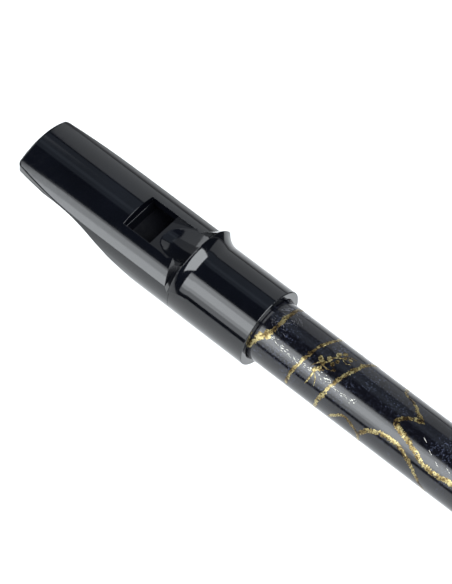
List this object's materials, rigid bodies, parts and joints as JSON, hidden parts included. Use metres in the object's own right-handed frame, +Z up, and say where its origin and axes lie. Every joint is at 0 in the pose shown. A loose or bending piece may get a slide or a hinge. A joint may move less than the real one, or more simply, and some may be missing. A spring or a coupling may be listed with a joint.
{
  "type": "tin whistle",
  "caption": "Soprano whistle: lacquered metal tube with finger holes in a moulded mouthpiece with windway, window, blade and collar.",
  "frame": {"origin": "on the tube's axis, at the open end face of the mouthpiece's sleeve, where the tube comes out", "axes": "+X along the tube to the foot, +Z up through the window and the finger holes, +Y to the side"},
  "size_m": [0.2987, 0.0194, 0.0195],
  "materials": {
    "head_plastic": "polished moulded black plastic",
    "block_plastic": "polished moulded black plastic",
    "tube_lacquer": "gloss black lacquer with gold leaf line decoration"
  },
  "bodies": {
    "tube": {"tube": "tube_lacquer"},
    "head": {"head_shell": "head_plastic", "windway_block": "block_plastic"}
  },
  "joints": [
    {"name": "tuning_slide", "type": "slide", "parent": "tube", "child": "head", "axis": [-1, 0, 0], "range_m": [0, 0.008]}
  ]
}
